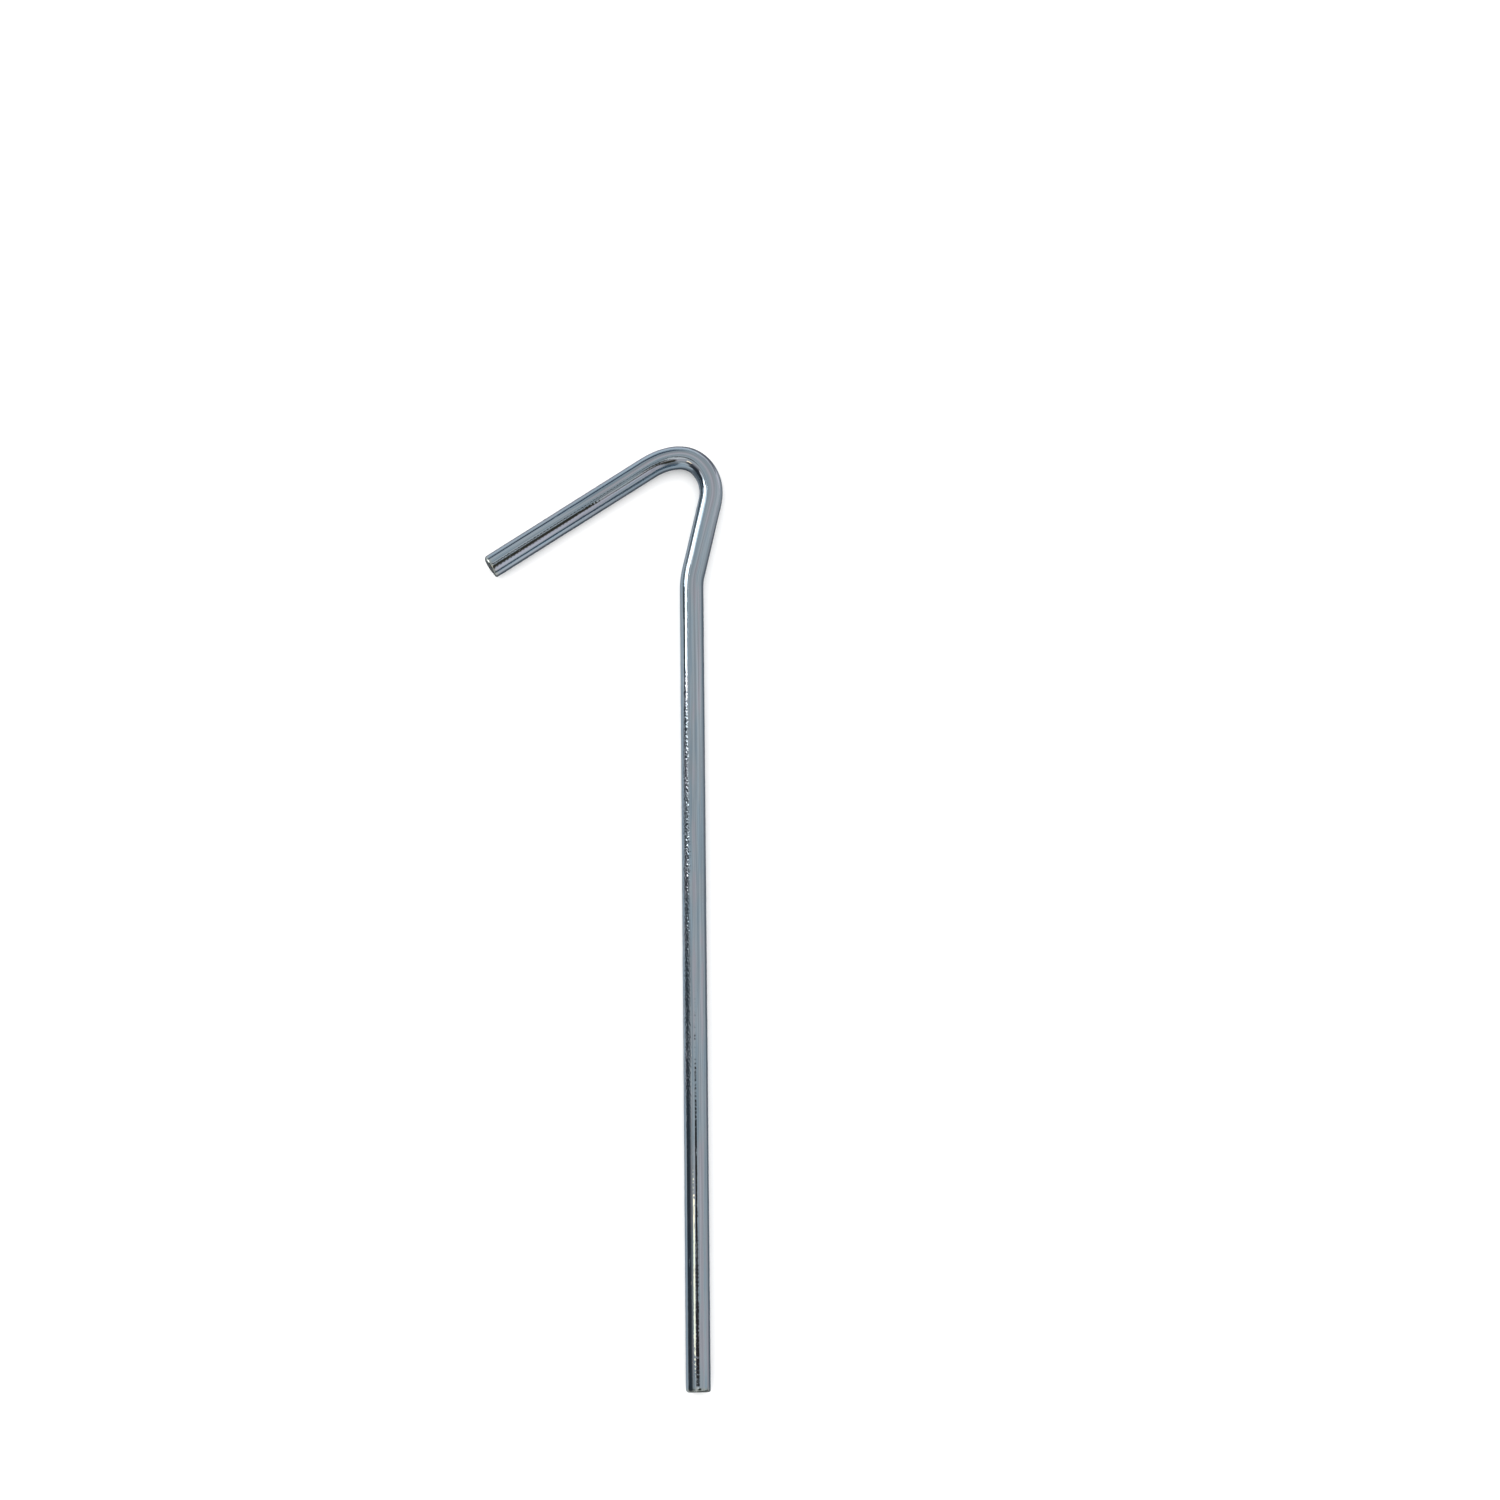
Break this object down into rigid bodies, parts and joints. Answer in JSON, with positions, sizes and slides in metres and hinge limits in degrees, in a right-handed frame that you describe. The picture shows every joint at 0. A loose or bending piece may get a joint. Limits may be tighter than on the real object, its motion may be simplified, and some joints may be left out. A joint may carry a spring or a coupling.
{
  "type": "tent stake",
  "caption": "Tent stake bent from one round steel rod: a long straight shaft, a slightly kinked neck and a hook turned back to hold a guy line.",
  "frame": {"origin": "middle of the bounding box's underside: the surface that the stake lies on", "axes": "+Y along the shaft from the tip to the hook, +Z square to the plane of the bends, and the arm of the hook reaches towards -X"},
  "size_m": [0.064, 0.25, 0.0063],
  "materials": {
    "zinc_plated_steel": "bright zinc plate with a clear blue passivate over drawn steel rod"
  },
  "bodies": {
    "root": {"stake_rod": "zinc_plated_steel"}
  },
  "joints": []
}
